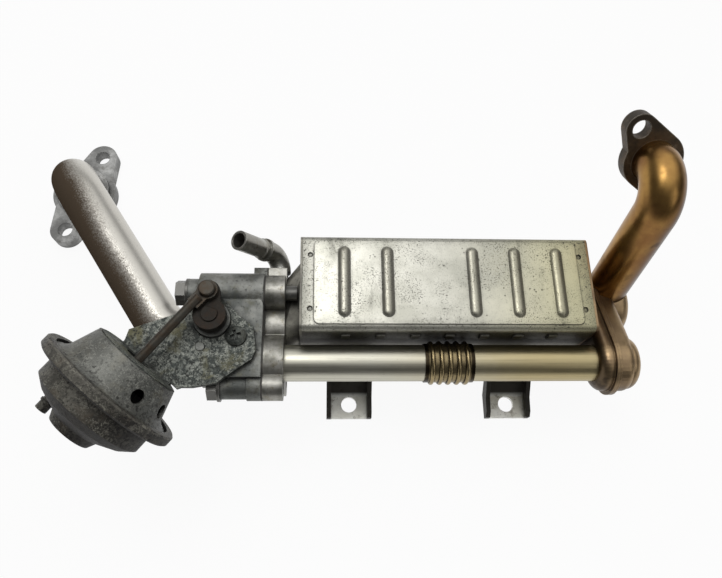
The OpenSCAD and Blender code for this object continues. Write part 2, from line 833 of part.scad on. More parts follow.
// Outlet chamber with the flap, one pocket for each gas way, and the wall between them.
module housing_gas_way() {
  deep = chamber_high - chamber_low;
  reach = shaft_x - 2 - housing_left - seat_depth + 1;
  pocket = housing_right - 6.5 - shaft_x + 4;
  translate([housing_left + seat_depth - 1, shaft_y - chamber_half, chamber_low])
    cube([reach, 2 * chamber_half, deep]);
  translate([shaft_x - 4, shaft_y + divider_half, cool_port.y - cool_port_r])
    cube([pocket, chamber_half + 3 - divider_half, 2 * cool_port_r]);
  translate([shaft_x - 4, bypass_y - 1, bypass_z - bypass_pocket_drop])
    cube([pocket, shaft_y - divider_half - bypass_y + 1, bypass_pocket_h]);
  translate([housing_right - low_boss_l, bypass_y - low_pocket_in, bypass_z - bypass_pocket_drop])
    cube([low_boss_l - face_t + 0.5, low_pocket_w, bypass_pocket_h]);
  along_x(housing_right - 7) linear_extrude(8) flange_ports();
  along_x(housing_left - 4) linear_extrude(seat_depth + 4)
    translate([shaft_y, outlet_z]) circle(outlet_d / 2 + braze_gap);
  translate([shaft_x, shaft_y, chamber_low - 1]) cylinder(r = shaft_r + 0.6, h = deep + 2);
}

module valve_housing() color([0.5, 0.51, 0.5])
  difference() {
    housing_body();
    housing_gas_way();
    along_x(housing_right - low_boss_l - 1) linear_extrude(low_boss_l + 2)
      translate(bolt_places[1]) circle(bolt_r + head_gap);
    along_x(housing_left - 1) linear_extrude(housing_l - low_boss_l + 1)
      translate(bolt_places[1]) circle(bolt_af / 2 + 2.2);
    along_x(housing_right - face_t - 1) linear_extrude(face_t + 2)
      for (i = [2, 3]) translate(bolt_places[i]) circle(bolt_r + head_gap);
    along_x(housing_left - 20) linear_extrude(housing_l + 21)
      translate(bolt_places[0]) circle(bolt_r + head_gap);
    translate([shaft_x, shaft_y, floor_z + 1]) cylinder(r = bush_r, h = chamber_low - floor_z - 1);
    translate([shaft_x, shaft_y, chamber_high]) cylinder(r = bush_r, h = housing_top);
    translate([screw_place.x, screw_place.y, housing_top - screw_l])
      cylinder(r = screw_r + braze_gap, h = screw_l + 1);
  }

module flange_gasket() color([0.16, 0.15, 0.14])
  along_x(housing_right) linear_extrude(gasket_t) difference() {
    flange_outline();
    flange_ports();
    flange_holes(bolt_r + head_gap);
  }

module hex_bolt(head_x, tip_x) {
  along_x(head_x) linear_extrude(tip_x - head_x) circle(bolt_r);
  along_x(head_x - bolt_head_h) linear_extrude(bolt_head_h)
    circle(d = bolt_af / cos(30), $fn = 6);
  along_x(head_x - 1.4) linear_extrude(1.4) circle(bolt_af / 2 + 1.6);
}

module flange_bolts() color([0.14, 0.13, 0.12]) {
  reach = [long_boss_l + 6, low_boss_l, face_t, face_t];
  for (i = [0:3])
    translate([0, bolt_places[i].x, bolt_places[i].y])
      hex_bolt(housing_right - reach[i], flange_right + (i == 0 ? 6 : -1));
}

module bracket_plan() {
  lead = [cos(act_heading), sin(act_heading)];
  side = [act_side.x, act_side.y];
  mouth = pin_at - (act_reach - cup_h) * lead;
  polygon([
    mouth - 1.6 * lead + 16 * side,
    mouth + 3 * lead + 16 * side,
    mouth + 8 * lead + 18.5 * side,
    [shaft_x - 18, shaft_y + 3.3],
    [shaft_x + 4.4, shaft_y + 11.6],
    [shaft_x + 13.6, shaft_y + 1.9],
    [shaft_x + 20.3, shaft_y - 3.3],
    [shaft_x + 22, shaft_y - 15],
    [shaft_x + 20, shaft_y - 20],
    [shaft_x + 14.5, shaft_y - 23.6],
    [shaft_x + 3.7, shaft_y - 31.7],
    [shaft_x - 7.6, shaft_y - 33.6],
    mouth + 4.5 * lead - 21 * side,
    mouth + 2.6 * lead - 20 * side,
    mouth + 2.6 * lead - 16 * side,
    mouth - 1.6 * lead - 16 * side
  ]);
}

module at_actuator() {
  framed(act_at, act_side, cross(act_dir, act_side)) children();
}

module actuator_bracket() color([0.55, 0.57, 0.54])
  difference() {
    union() {
      translate([0, 0, housing_top]) linear_extrude(arm_t) bracket_plan();
      at_actuator() translate([0, 0, front_wall_top])
        cylinder(r = mouth_r - act_t - 0.3, h = tab_t);
    }
    at_actuator() translate([0, 0, front_wall_top - 1]) cylinder(r = rod_hole_r, h = tab_t + 2);
    at_actuator() translate([0, 0, front_wall_top - 12]) cylinder(r = mouth_r + 6, h = 12);
    translate([shaft_x, shaft_y, housing_top - 1]) cylinder(r = shaft_boss_r + 0.3, h = arm_t + 2);
    translate([peg.x, peg.y, housing_top - 1]) cylinder(r = 2.35, h = arm_t + 2);
    translate([screw_place.x, screw_place.y, housing_top - 1])
      cylinder(r = screw_r + 0.2, h = arm_t + 2);
  }

module bracket_screw() color([0.3, 0.31, 0.31])
  translate([screw_place.x, screw_place.y, arm_top])
    difference() {
      union() {
        rotate_extrude() intersection() {
          translate([0, screw_head_h - 2 * screw_head_r]) circle(2 * screw_head_r);
          square([screw_head_r, screw_head_h]);
        }
        translate([0, 0, -arm_t - screw_l + 2]) cylinder(r = screw_r, h = arm_t + screw_l - 1);
      }
      for (a = [20, 110]) rotate([0, 0, a])
        translate([-2.7, -0.7, 0.9]) cube([5.4, 1.4, screw_head_h]);
    }

module shaft_bushes() color([0.62, 0.5, 0.3])
  translate([shaft_x, shaft_y, 0]) {
    translate([0, 0, floor_z + 1]) linear_extrude(chamber_low - floor_z - 1)
      ring(bush_r, shaft_r + run_gap);
    translate([0, 0, chamber_high]) linear_extrude(housing_top + shaft_boss_h - chamber_high)
      ring(bush_r, shaft_r + run_gap);
  }

module shaft_seal() color([0.08, 0.07, 0.06])
  translate([shaft_x, shaft_y, housing_top + shaft_boss_h])
    linear_extrude(hub_z - housing_top - shaft_boss_h - 0.3) ring(bush_r + 1.4, shaft_r + 0.35);

module at_flap() {
  translate([shaft_x, shaft_y, chamber_low + 1]) rotate([0, 0, flap_angle]) children();
}

module valve_shaft() color([0.4, 0.36, 0.32])
  difference() {
    translate([shaft_x, shaft_y, floor_z + 1.4])
      cylinder(r = shaft_r, h = lever_top + 0.8 - floor_z - 1.4);
    at_flap() translate([-shaft_r - 1, -shaft_r - 1, -0.1])
      cube([2 * shaft_r + 2, shaft_r + 1, flap_h + 0.2]);
    translate([shaft_x, shaft_y, hub_z]) rotate([0, 0, 70])
      translate([shaft_r - 1, -shaft_r, 0]) cube([2, 2 * shaft_r, hub_h + 2]);
  }

flap_screw_places = [flap_h * 0.28, flap_h * 0.72];

module bypass_flap() color([0.5, 0.48, 0.46])
  at_flap() difference() {
    translate([-shaft_r, -flap_t, 0]) cube([flap_reach + shaft_r, flap_t, flap_h]);
    for (z = flap_screw_places)
      translate([0, 1, z]) rotate([90, 0, 0]) cylinder(r = 1.55, h = flap_t + 2);
  }

module flap_screws() color([0.4, 0.4, 0.4])
  at_flap() for (z = flap_screw_places)
    translate([0, 0, z]) rotate([90, 0, 0]) {
      cylinder(r = 1.5, h = flap_t + 0.5);
      translate([0, 0, flap_t]) cylinder(r = 2.6, h = 1.3);
    }

module lever_arm() color([0.3, 0.24, 0.2])
  difference() {
    union() {
      translate([shaft_x, shaft_y, hub_z]) cylinder(r = hub_r, h = hub_h);
      translate([0, 0, lever_top - lever_t]) linear_extrude(lever_t) {
        translate(pin_at) circle(eye_r + 0.8);
        joined([shaft_x, shaft_y], pin_at, eye_r + 0.8);
      }
    }
    difference() {
      translate([shaft_x, shaft_y, hub_z - 1]) cylinder(r = shaft_r + braze_gap, h = hub_h + 2);
      translate([shaft_x, shaft_y, hub_z - 1]) rotate([0, 0, 70])
        translate([shaft_r - 1 + braze_gap, -shaft_r, 0]) cube([2, 2 * shaft_r, hub_h + 2]);
    }
    translate([pin_at.x, pin_at.y, lever_top - lever_t - 1])
      cylinder(r = pin_r + braze_gap, h = lever_t + 2);
  }

module lever_pin() color([0.28, 0.2, 0.17])
  translate([pin_at.x, pin_at.y, lever_top - lever_t - 1.2]) {
    cylinder(r = pin_r, h = lever_t + 1.2 + 0.2 + eye_t + 1);
    cylinder(r = pin_r + 0.9, h = 1.2);
    translate([0, 0, lever_t + 1.2 + 0.2 + eye_t + 0.2]) rotate_extrude() {
      square([4.1 - 0.9, 2.6]);
      square([4.1, 1.7]);
      translate([4.1 - 0.9, 1.7]) circle(0.9);
    }
  }

module actuator_rod() color([0.36, 0.29, 0.23])
  difference() {
    union() {
      translate([pin_at.x, pin_at.y, eye_z]) linear_extrude(eye_t) {
        circle(eye_r);
        rotate(act_heading) translate([-10, -3.4]) square([10, 6.8]);
      }
      pointing([pin_at.x, pin_at.y, rod_z] - 5.4 * act_dir, -act_dir)
        cylinder(r = rod_r, h = rod_end - 5.4);
    }
    translate([pin_at.x, pin_at.y, eye_z - 1]) cylinder(r = pin_r + run_gap, h = eye_t + 2);
  }

module actuator_cup() color([0.46, 0.46, 0.44])
  at_actuator() difference() {
    rotate_extrude() difference() {
      polygon([
        [0, rim_half], [rim_r - 2, rim_half], [rim_r - 2, rim_half + act_t],
        [rim_r - 4.6, rim_half + act_t], [can_r + 0.6, rim_half + act_t + 1.2],
        [can_r - 1.4, rim_half + act_t + 3.4],
        [mouth_r, cup_h], [0, cup_h]
      ]);
      polygon([
        [-1, rim_half - 1], [can_r - 0.6, rim_half - 1], [can_r - 0.6, rim_half + act_t],
        [can_r - 1.4 - act_t, rim_half + act_t + 3], [mouth_r - act_t + 0.4, front_wall_top - act_t],
        [-1, front_wall_top - act_t]
      ]);
      polygon([
        [-1, front_wall_top], [mouth_r - act_t, front_wall_top], [mouth_r - act_t, cup_h + 1],
        [-1, cup_h + 1]
      ]);
    }
    translate([0, 0, front_wall_top - act_t - 1]) cylinder(r = rod_hole_r, h = act_t + 2);
    for (a = [136, 178]) rotate([0, 0, a])
      translate([0, 0, cup_h * 0.5]) rotate([0, 90, 0]) cylinder(r = 3.2, h = can_r + 6);
  }

module actuator_can() color([0.34, 0.33, 0.31])
  at_actuator() difference() {
    rotate_extrude() polygon([
      [0, -can_depth], [can_r - 17.5, -can_depth], [can_r - 15.5, -can_depth * 0.83],
      [can_r - 5, -can_depth * 0.64], [can_r, -can_depth * 0.48],
      [can_r, -rim_half - act_t], [rim_r - 1, -rim_half - act_t],
      [rim_r, -rim_half - 0.4], [rim_r, rim_half + 2 * act_t - 0.6],
      [rim_r - 0.8, rim_half + 2 * act_t + 0.2], [rim_r - 4.2, rim_half + 2 * act_t + 0.2],
      [rim_r - 4.2, rim_half + act_t + 0.05], [rim_r - 1.6, rim_half + act_t + 0.05],
      [rim_r - 1.6, -rim_half], [can_r - act_t, -rim_half],
      [can_r - act_t, -can_depth * 0.48 + 0.5],
      [can_r - 5 - 0.6 * act_t, -can_depth * 0.64 + 0.9 * act_t],
      [can_r - 15.5 - 0.8, -can_depth * 0.83 + act_t],
      [can_r - 17.5 - 0.8, -can_depth + act_t], [0, -can_depth + act_t]
    ]);
    translate([nipple_at.x, nipple_at.y, -can_depth - 3])
      cylinder(r = nipple_r + braze_gap, h = nipple_l + 2);
  }

module diaphragm() color([0.07, 0.07, 0.07])
  at_actuator() rotate_extrude() {
    edge = rim_r - 2.4;
    polygon([
      [edge, rim_half], [edge, -rim_half],
      [can_r - act_t - 0.3, -rim_half], [can_r - 4.6, -rim_half - 3],
      [plate_r + 2.2, -rim_half - 3],
      [plate_r + 0.6, plate_z + act_t], [ferrule_r + 0.2, plate_z + act_t],
      [ferrule_r + 0.2, plate_z + act_t + 1.2], [plate_r + 1.8, plate_z + act_t + 1.2],
      [plate_r + 3.2, -rim_half - 1.6], [can_r - 5.2, -rim_half - 1.6], [can_r - 2.2, rim_half]
    ]);
  }

module diaphragm_plate() color([0.55, 0.55, 0.54])
  at_actuator() {
    translate([0, 0, plate_z]) cylinder(r = plate_r, h = act_t);
    translate([0, 0, plate_z]) cylinder(r = ferrule_r, h = ferrule_top - plate_z);
  }

// Wire of a compression spring, swept as rings of points along its helix.
module return_spring() color([0.6, 0.6, 0.58]) {
  sides = 8;
  steps = coil_turns * 20;
  low = -can_depth + act_t + wire_r + 0.1;
  rise = plate_z - wire_r - 0.1 - low;
  points = [
    for (i = [0:steps], k = [0:sides - 1])
      let (a = 360 * coil_turns * i / steps, b = 360 * k / sides, r = coil_r + wire_r * cos(b))
        [r * cos(a), r * sin(a), low + rise * i / steps + wire_r * sin(b)]
  ];
  walls = [
    for (i = [0:steps - 1], k = [0:sides - 1])
      let (n = (k + 1) % sides)
        [i * sides + k, i * sides + n, (i + 1) * sides + n, (i + 1) * sides + k]
  ];
  ends = [[for (k = [sides - 1:-1:0]) k], [for (k = [0:sides - 1]) steps * sides + k]];
  at_actuator() polyhedron(points, concat(walls, ends));
}

module vacuum_nipple() color([0.25, 0.24, 0.23])
  at_actuator() translate([nipple_at.x, nipple_at.y, -can_depth - 2.5]) difference() {
    union() {
      cylinder(r = nipple_r, h = nipple_l);
      translate([0, 0, 4]) cylinder(r = nipple_r + 0.6, h = 1);
    }
    translate([0, 0, -1]) cylinder(r = nipple_r - 1.4, h = nipple_l + 2);
  }

cooler_cover();
cooler_tray();
header_left();
header_right();
gas_tubes();
outlet_cone();
cooler_flange();
inlet_header();
collector_inner();
collector_outer();
bypass_tube_left();
bypass_bellows();
bypass_tube_right();
inlet_pipe();
inlet_flange();
coolant_nozzle_front();
coolant_nozzle_rear();
bracket_left();
bracket_right();
valve_housing();
flange_gasket();
flange_bolts();
outlet_pipe();
outlet_flange();
actuator_bracket();
bracket_screw();
shaft_bushes();
shaft_seal();
valve_shaft();
bypass_flap();
flap_screws();
lever_arm();
lever_pin();
actuator_rod();
actuator_cup();
actuator_can();
diaphragm();
diaphragm_plate();
return_spring();
vacuum_nipple();
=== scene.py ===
import math

import bpy
from mathutils import Matrix, Vector


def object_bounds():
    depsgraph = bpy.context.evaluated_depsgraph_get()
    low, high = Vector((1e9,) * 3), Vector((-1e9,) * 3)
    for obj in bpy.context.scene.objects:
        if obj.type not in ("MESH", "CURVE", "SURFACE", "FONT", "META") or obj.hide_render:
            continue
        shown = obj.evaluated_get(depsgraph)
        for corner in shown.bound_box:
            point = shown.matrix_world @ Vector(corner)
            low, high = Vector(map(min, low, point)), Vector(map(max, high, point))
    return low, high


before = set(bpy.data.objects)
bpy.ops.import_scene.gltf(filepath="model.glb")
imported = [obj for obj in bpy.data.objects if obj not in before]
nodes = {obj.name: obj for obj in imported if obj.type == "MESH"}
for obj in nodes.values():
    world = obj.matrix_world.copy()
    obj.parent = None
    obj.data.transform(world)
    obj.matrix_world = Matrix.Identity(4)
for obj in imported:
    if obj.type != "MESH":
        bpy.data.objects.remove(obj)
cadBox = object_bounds()
print("frame loaded with", len(nodes), "nodes")


class Val:                                    # one socket, with arithmetic
    def __init__(self, sheet, socket):
        self.sheet = sheet
        self.socket = socket

    def do(self, operation, *values):
        return self.sheet.node("ShaderNodeMath", {"operation": operation}, dict(enumerate(values)))

    def __add__(self, other):
        return self.do("ADD", self, other)

    def __radd__(self, other):
        return self.do("ADD", other, self)

    def __sub__(self, other):
        return self.do("SUBTRACT", self, other)

    def __rsub__(self, other):
        return self.do("SUBTRACT", other, self)

    def __mul__(self, other):
        return self.do("MULTIPLY", self, other)

    def __rmul__(self, other):
        return self.do("MULTIPLY", other, self)

    def least(self, other):
        return self.do("MINIMUM", self, other)

    def most(self, other):
        return self.do("MAXIMUM", self, other)

    def size(self):
        return self.do("ABSOLUTE", self)

    def ramp(self, low, high):                # smooth 0 to 1 between two values
        return self.sheet.node(
            "ShaderNodeMapRange", {"interpolation_type": "SMOOTHSTEP"},
            {"Value": self, "From Min": low, "From Max": high})


class Sheet:                                  # the node tree of one material or of the world
    def __init__(self, owner, seed, coords="Object"):
        self.owner = owner
        owner.use_nodes = True
        self.tree = owner.node_tree
        self.tree.nodes.clear()
        self.place = self.node("ShaderNodeTexCoord", {}, {}, coords)
        self.mm = self.vector("SCALE", self.place, scale=1000.0)
        self.spot = self.vector("ADD", self.mm, (37.0 * seed, 61.0 * seed, 23.0 * seed))

    def node(self, kind, settings, inputs, output=0):
        made = self.tree.nodes.new(kind)
        for key, value in settings.items():
            setattr(made, key, value)
        for key, value in inputs.items():
            self.plug(made.inputs[key], value)
        return None if output is None else Val(self, made.outputs[output])

    def plug(self, slot, value):
        if isinstance(value, Val):
            self.tree.links.new(value.socket, slot)
        elif isinstance(value, tuple) and len(value) == 3 and slot.type == "RGBA":
            slot.default_value = value + (1.0,)
        else:
            slot.default_value = value

    def vector(self, operation, first, second=None, scale=None):
        inputs = {0: first}
        if second is not None:
            inputs[1] = second
        if scale is not None:
            inputs["Scale"] = scale
        return self.node("ShaderNodeVectorMath", {"operation": operation}, inputs)

    def axes(self, of=None):
        made = self.tree.nodes.new("ShaderNodeSeparateXYZ")
        self.plug(made.inputs[0], of or self.mm)
        return [Val(self, out) for out in made.outputs]

    def noise(self, size, detail=4.0, rough=0.55, twist=0.0, stretch=None):
        at = self.spot
        if stretch:
            at = self.vector("MULTIPLY", at, stretch)
        return self.node(
            "ShaderNodeTexNoise", {},
            {"Vector": at, "Scale": 1.0 / size, "Detail": detail, "Roughness": rough,
             "Distortion": twist})

    def cells(self, size, output="Distance"):
        return self.node(
            "ShaderNodeTexVoronoi", {}, {"Vector": self.spot, "Scale": 1.0 / size}, output)

    def mix(self, amount, first, second):
        return self.node(
            "ShaderNodeMix", {"data_type": "RGBA"}, {0: amount, 6: first, 7: second}, 2)

    def recess(self, reach):                  # 1 in corners and behind other pieces, used for painted shade
        clear = self.node(
            "ShaderNodeAmbientOcclusion", {"samples": 6}, {"Distance": reach / 1000.0}, "AO")
        return 1.0 - clear

    def facing(self, way):                    # 1 where the surface looks along a direction
        normal = self.node("ShaderNodeNewGeometry", {}, {}, "Normal")
        return self.node(
            "ShaderNodeVectorMath", {"operation": "DOT_PRODUCT"}, {0: normal, 1: way}, "Value")

    def edge(self, radius):                   # 1 along edges
        soft = self.node("ShaderNodeBevel", {"samples": 4}, {"Radius": radius / 1000.0})
        return (1.0 - self.facing(soft)).ramp(0.02, 0.2)

    def finish(self, color, rough, metal, height=None, depth=0.0, soft=0.0, gloss=0.5):
        shader = self.tree.nodes.new("ShaderNodeBsdfPrincipled")
        self.plug(shader.inputs["Base Color"], color)
        self.plug(shader.inputs["Roughness"], rough)
        self.plug(shader.inputs["Metallic"], metal)
        self.plug(shader.inputs["Specular IOR Level"], gloss)
        normal = None
        if soft:
            normal = self.node("ShaderNodeBevel", {"samples": 4}, {"Radius": soft / 1000.0})
        if height is not None:
            inputs = {"Height": height, "Strength": 1.0, "Distance": depth / 1000.0}
            if normal is not None:
                inputs["Normal"] = normal
            normal = self.node("ShaderNodeBump", {}, inputs)
        if normal is not None:
            self.plug(shader.inputs["Normal"], normal)
        return self.show(Val(self, shader.outputs[0]), "ShaderNodeOutputMaterial")

    def show(self, shader, kind):
        self.node(kind, {}, {0: shader}, None)
        return self.owner


def sheetFor(name, seed):
    return Sheet(bpy.data.materials.new(name), seed)


def cornersOf(piece):                         # lowest and highest corner, mm
    corners = nodes[piece].bound_box
    return Vector(corners[0]) * 1000.0, Vector(corners[6]) * 1000.0


def dress(material, *names):
    for name in names:
        mesh = nodes[name].data
        mesh.materials.clear()
        mesh.materials.append(material)
    print(material.name, "on", ", ".join(names))


boxLook = {
    "steel": (0.45, 0.445, 0.385),
    "pale": (0.64, 0.63, 0.56),
    "warm": (0.48, 0.445, 0.24),              # heat tint towards the gas inlet
    "side": (0.085, 0.078, 0.055),            # painted shade with some dirt on the walls, darker further down
    # dark colour for real dirt and for painted shade
    "sootAndShade": (0.024, 0.022, 0.016),
    "rib": (0.26, 0.245, 0.19),               # painted shade on the tops of the ribs
    "ribHeight": 1.1,
    "speckle": 0.95,
    # weight of the painted shade in corners and at the ribs
    "grimeAndShade": 0.75,
    "rimWidth": 9.0,                          # dirty border of the cover, mm
    "roughness": 0.36,
    "tintFrom": -5.0,
    "tintTo": 92.0,
}


def boxSteel(name, look, seed, piece):
    s = sheetFor(name, seed)
    x, y, z = s.axes()
    low, high = cornersOf(piece)
    cloud = s.noise(26.0, 5.0, 0.6)
    fine = s.noise(3.2, 6.0, 0.65)
    grain = s.noise(0.55, 3.0, 0.65)
    color = s.mix(cloud.ramp(0.35, 0.68), look["steel"], look["pale"])
    tint = (x + (cloud - 0.5) * 60.0).ramp(look["tintFrom"], look["tintTo"])
    color = s.mix(tint * 0.8, color, look["warm"])
    # painted shade with some dirt: the walls get darker further below the top of the box
    wall = 1.0 - s.facing((0.0, 0.0, 1.0)).ramp(0.25, 0.85)
    color = s.mix(wall * (0.1 + (high.z - z).ramp(3.5, 8.0) * 0.8), color, look["side"])
    # painted shade: the tops of the ribs are darkened
    rib = (z - (high.z - look["ribHeight"])).ramp(0.0, 0.4) * (1.0 - wall)
    color = s.mix(rib * 0.55, color, look["rib"])
    rim = (x - low.x).least(high.x - x).least(y - low.y).least(high.y - y)
    rim = 1.0 - (rim + (fine - 0.5) * 9.0).ramp(0.0, look["rimWidth"])
    patch = (s.noise(17.0, 4.0, 0.6).ramp(0.42, 0.62) * 0.8 + rim * 0.7 + 0.22).least(1.0)
    speckle = grain.ramp(0.575, 0.625) * patch * look["speckle"]
    foot = s.recess(2.0).ramp(0.06, 0.34)     # painted shade along the foot of each rib
    # painted shade on the sides of the ribs that face +x
    foot = foot + s.facing((1.0, -0.25, 0.0)).ramp(0.06, 0.5) * (1.0 - wall) * 0.9
    dots = (1.0 - s.cells(2.6).ramp(0.10, 0.24)) * s.noise(11.0, 3.0).ramp(0.50, 0.64)
    streak = s.noise(9.0, 4.0, 0.6, 0.4, (1.0, 0.3, 1.0)).ramp(0.58, 0.80)
    # painted shade in the corners and at the ribs, joined with the real speckles, dots, streaks and
    # rim dirt below
    corner = s.recess(5.0).ramp(0.2, 0.75)
    grimeAndShade = (corner + foot * 0.8).least(1.0) * look["grimeAndShade"]
    dirtAndShade = speckle + dots * 0.7 + grimeAndShade + streak * 0.3 + rim * 0.3
    dirtAndShade = dirtAndShade.least(0.94)
    color = s.mix(dirtAndShade, color, look["sootAndShade"])
    rough = look["roughness"] + (fine - 0.5) * 0.22 + dirtAndShade * 0.32
    height = fine * 0.3 + cloud * 1.3 + dirtAndShade * 0.3
    return s.finish(color, rough, 1.0 - dirtAndShade * 0.75, height, 0.14, 0.5)


dress(boxSteel("box_steel", boxLook, 1.0, "cooler_cover"), "cooler_cover", "cooler_tray")

tubeLook = {
    "steel": (0.56, 0.545, 0.46),
    "warm": (0.46, 0.385, 0.215),
    # dark colour for drawing streaks, real specks and painted shade
    "sootAndShade": (0.05, 0.042, 0.03),
    "roughness": 0.37,
    "tintFrom": -40.0,
    "tintTo": 50.0,
}


def tubeSteel(name, look, seed):
    s = sheetFor(name, seed)
    x = s.axes()[0]
    cloud = s.noise(24.0, 4.0, 0.6)
    fine = s.noise(2.4, 4.0, 0.5)
    draw = s.noise(1.1, 3.0, 0.5, 0.0, (0.02, 1.0, 1.0))
    tint = (x + (cloud - 0.5) * 40.0).ramp(look["tintFrom"], look["tintTo"])
    color = s.mix(tint, look["steel"], look["warm"])
    color = s.mix(draw.ramp(0.45, 0.7) * 0.22, color, look["sootAndShade"])
    # painted shade on the underside of the tube and in the corners beside the box, joined with real
    # specks
    under = 1.0 - s.facing((0.0, 0.0, 1.0)).ramp(-0.6, 0.3)
    specks = s.noise(0.8, 3.0, 0.6).ramp(0.66, 0.74) * cloud.ramp(0.45, 0.62)
    corner = s.recess(3.0).ramp(0.3, 0.85)
    dirtAndShade = (specks * 0.5 + corner * 0.6 + under * 0.35).least(0.9)
    color = s.mix(dirtAndShade, color, look["sootAndShade"])
    rough = look["roughness"] + (fine - 0.5) * 0.12 + dirtAndShade * 0.25
    return s.finish(color, rough, 1.0 - dirtAndShade * 0.6, draw * 0.5 + fine * 0.3, 0.02)


dress(tubeSteel("bypass_steel", tubeLook, 2.0), "bypass_tube_left", "bypass_tube_right")

bellowsLook = {
    "light": (0.33, 0.26, 0.14),
    "dark": (0.028, 0.021, 0.013),
    "roughness": 0.27,
}


def bellowsSteel(name, look, seed, piece):
    s = sheetFor(name, seed)
    x = s.axes()[0]
    low, high = cornersOf(piece)
    cloud = s.noise(7.0, 4.0, 0.6)
    fine = s.noise(1.4, 4.0, 0.6)
    # painted shade in the valleys of the convolutions
    valley = s.recess(3.0).ramp(0.10, 0.42)
    cuff = 1.0 - (x - low.x).least(high.x - x).ramp(1.4, 2.6)
    shade = (valley + cloud.ramp(0.4, 0.7) * 0.3 + cuff * 0.9).least(1.0)
    color = s.mix(shade, look["light"], look["dark"])
    rough = look["roughness"] + (fine - 0.5) * 0.2 + valley * 0.25
    return s.finish(color, rough, 1.0 - valley * 0.3, fine, 0.03)


dress(bellowsSteel("bellows_steel", bellowsLook, 3.0, "bypass_bellows"), "bypass_bellows")

collectorLook = {
    "bronze": (0.175, 0.122, 0.080),
    "gold": (0.38, 0.27, 0.15),
    "dark": (0.045, 0.033, 0.024),
    "darkFrom": (-0.6, -0.6, -0.4),           # the side that gets painted shade
    # strength of the painted shade on that side
    "stainAndShade": 0.85,
    "dots": 0.25,
    "roughness": 0.36,
}
inletLook = {
    "gold": (0.42, 0.245, 0.075),
    "bronze": (0.215, 0.108, 0.040),
    "dark": (0.058, 0.030, 0.017),
    # the side that gets painted shade
    "darkFrom": (0.75, -0.45, -0.2),
    # strength of the painted shade on that side
    "stainAndShade": 0.95,
    "dots": 0.06,
    "roughness": 0.29,
}


def heatSteel(name, look, seed):
    s = sheetFor(name, seed)
    cloud = s.noise(30.0, 4.0, 0.55)
    blot = s.noise(10.0, 5.0, 0.55)
    fine = s.noise(1.8, 4.0, 0.5)
    heat = (cloud * 0.65 + blot * 0.35).ramp(0.36, 0.62)
    color = s.mix(heat, look["bronze"], look["gold"])
    # painted shade on the side facing darkFrom, joined with real burnt blotches
    away = (s.facing(look["darkFrom"]) + (cloud - 0.5) * 1.2).ramp(-0.1, 0.85)
    burntAndShaded = (away * look["stainAndShade"] + blot.ramp(0.54, 0.76) * 0.4).least(0.92)
    color = s.mix(burntAndShaded, color, look["dark"])
    rub = s.edge(0.7)
    color = s.mix(rub * 0.6, color, look["gold"])
    # painted shade in the corners, joined with real dots
    corner = s.recess(6.0).ramp(0.3, 0.85)
    dots = s.noise(0.9, 3.0, 0.6).ramp(0.66, 0.74) * cloud.ramp(0.42, 0.6)
    dirtAndShade = (corner * 0.2 + dots * look["dots"]).least(0.9)
    color = s.mix(dirtAndShade, color, look["dark"])
    rough = look["roughness"] + (fine - 0.5) * 0.05 + dirtAndShade * 0.2 + blot.ramp(0.5, 0.75) * 0.12
    return s.finish(color, rough, 1.0 - dirtAndShade * 0.5, blot, 0.025, 0.4)


dress(heatSteel("collector_steel", collectorLook, 4.0),
      "collector_inner", "collector_outer", "inlet_header")
dress(heatSteel("inlet_steel", inletLook, 5.0), "inlet_pipe")

inletFlangeLook = {
    "base": (0.044, 0.032, 0.020),
    "rust": (0.110, 0.070, 0.036),
    "worn": (0.36, 0.32, 0.26),
    "roughness": 0.52,
}


def flangePlate(name, look, seed):
    s = sheetFor(name, seed)
    cloud = s.noise(12.0, 5.0, 0.6)
    blot = s.noise(4.0, 5.0, 0.65)
    fine = s.noise(0.8, 4.0, 0.6)
    color = s.mix((cloud * 0.6 + blot * 0.4).ramp(0.40, 0.64), look["base"], look["rust"])
    rub = s.edge(1.2)
    color = s.mix((rub * 0.8 + blot.ramp(0.58, 0.76) * 0.2).least(0.85), color, look["worn"])
    rough = look["roughness"] + (fine - 0.5) * 0.25 - rub * 0.12
    return s.finish(color, rough, 0.6, fine * 0.6 + blot, 0.10, 0.5)


dress(flangePlate("inlet_flange_steel", inletFlangeLook, 6.0), "inlet_flange")

outletLook = {
    "steel": (0.60, 0.58, 0.53),
    "shade": (0.070, 0.048, 0.030),
    "sootAndShade": (0.05, 0.042, 0.03),
    "shadeFrom": (-0.83, -0.55, 0.05),        # the side that gets painted shade, in a brown heat-stain colour
    "gloss": 0.0,
    "roughness": 0.35,
}


